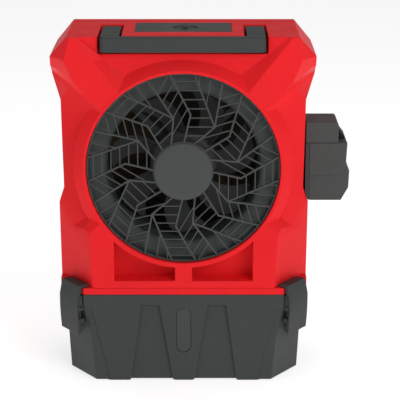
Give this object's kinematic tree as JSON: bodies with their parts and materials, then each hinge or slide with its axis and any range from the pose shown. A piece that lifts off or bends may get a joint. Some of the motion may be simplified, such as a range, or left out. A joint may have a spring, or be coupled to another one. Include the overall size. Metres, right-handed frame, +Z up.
{
  "type": "air mover",
  "caption": "Cordless evaporative air mover: a fan housing on a latched water tank, with a slide-on battery, folding handle and speed knob.",
  "frame": {"origin": "under the middle of the tank's base, on the plane that it stands on", "axes": "+X to the battery side (right, seen from the front), the front faces -Y, +Z up"},
  "size_m": [0.403, 0.21, 0.4796],
  "materials": {
    "red_plastic": "satin moulded",
    "dark_plastic": "fine moulded texture",
    "black_plastic": "satin moulded",
    "steel": "zinc plated",
    "rubber": "matte",
    "wet_pad": "corrugated cellulose",
    "circuit_board": "lacquered",
    "contacts": "polished",
    "smoked_window": "smoked, see-through",
    "red_lens": "clear moulded"
  },
  "bodies": {
    "root": {"base_rim": "red_plastic", "front_housing": "red_plastic", "rear_housing": "red_plastic", "rear_louvre": "dark_plastic", "louvre_slats": "dark_plastic", "louvre_screw_1": "steel", "louvre_screw_2": "steel", "louvre_screw_3": "steel", "louvre_screw_4": "steel", "cooling_pad": "wet_pad", "water_distributor": "black_plastic", "fan_shroud": "black_plastic", "motor_bracket": "black_plastic", "motor_body": "steel", "front_grille": "dark_plastic", "grille_hub_cap": "dark_plastic", "handle_pin_left": "steel", "handle_pin_right": "steel", "control_panel": "dark_plastic", "led_lens": "red_lens", "rotary_switch": "black_plastic", "control_board": "circuit_board", "battery_dock": "dark_plastic", "dock_rails": "dark_plastic", "dock_contacts": "contacts", "water_tank": "dark_plastic", "level_window": "smoked_window", "foot_front_left": "rubber", "foot_back_left": "rubber", "foot_front_right": "rubber", "foot_back_right": "rubber", "water_pump": "black_plastic", "pump_hose": "rubber", "latch_bracket_left": "dark_plastic", "latch_bracket_right": "dark_plastic", "latch_tank_pin_left": "steel", "latch_tank_pin_right": "steel"},
    "fan": {"motor_shaft": "steel", "fan_nut": "steel", "fan_impeller": "black_plastic"},
    "handle": {"handle": "dark_plastic"},
    "knob": {"speed_knob": "black_plastic"},
    "battery": {"battery_pack": "dark_plastic"},
    "release": {"battery_release": "black_plastic"},
    "drain": {"drain_plug": "black_plastic"},
    "link_left": {"latch_link_left": "dark_plastic", "latch_link_pin_left": "steel"},
    "lever_left": {"latch_lever_left": "dark_plastic"},
    "link_right": {"latch_link_right": "dark_plastic", "latch_link_pin_right": "steel"},
    "lever_right": {"latch_lever_right": "dark_plastic"}
  },
  "joints": [
    {"name": "fan_spin", "type": "hinge", "parent": "root", "child": "fan", "pos_m": [0, -0.07, 0.2989], "axis": [0, 1, 0], "continuous": true},
    {"name": "handle_swing", "type": "hinge", "parent": "root", "child": "handle", "pos_m": [0, -0.008, 0.4665], "axis": [-1, 0, 0], "range_deg": [0, 100]},
    {"name": "knob_turn", "type": "hinge", "parent": "root", "child": "knob", "pos_m": [0.0026, -0.018, 0.4766], "axis": [0, 0, -1], "range_deg": [0, 240]},
    {"name": "battery_slide", "type": "slide", "parent": "root", "child": "battery", "axis": [0, 0, -1], "range_m": [0, 0.04]},
    {"name": "release_press", "type": "slide", "parent": "battery", "child": "release", "axis": [0, 0, -1], "range_m": [0, 0.0025], "stiffness_N_per_m": 800},
    {"name": "drain_turn", "type": "hinge", "parent": "root", "child": "drain", "pos_m": [-0.11, 0.076, 0.022], "axis": [0, -1, 0], "range_deg": [0, 90]},
    {"name": "link_left_swing", "type": "hinge", "parent": "root", "child": "link_left", "pos_m": [-0.15203, -0.08291, 0.106], "axis": [0.5812, -0.8137, 0], "range_deg": [-22, 0]},
    {"name": "lever_left_swing", "type": "hinge", "parent": "link_left", "child": "lever_left", "pos_m": [-0.15008, -0.08151, 0.0795], "axis": [0.5812, -0.8137, 0], "range_deg": [0, 110]},
    {"name": "link_right_swing", "type": "hinge", "parent": "root", "child": "link_right", "pos_m": [0.15203, -0.08291, 0.106], "axis": [0.5812, 0.8137, 0], "range_deg": [-22, 0]},
    {"name": "lever_right_swing", "type": "hinge", "parent": "link_right", "child": "lever_right", "pos_m": [0.15008, -0.08151, 0.0795], "axis": [0.5812, 0.8137, 0], "range_deg": [0, 110]}
  ],
  "couplings": [
    {"joint": "link_left_swing", "follows": "lever_left_swing", "ratio": -0.2},
    {"joint": "link_right_swing", "follows": "lever_right_swing", "ratio": -0.2}
  ]
}
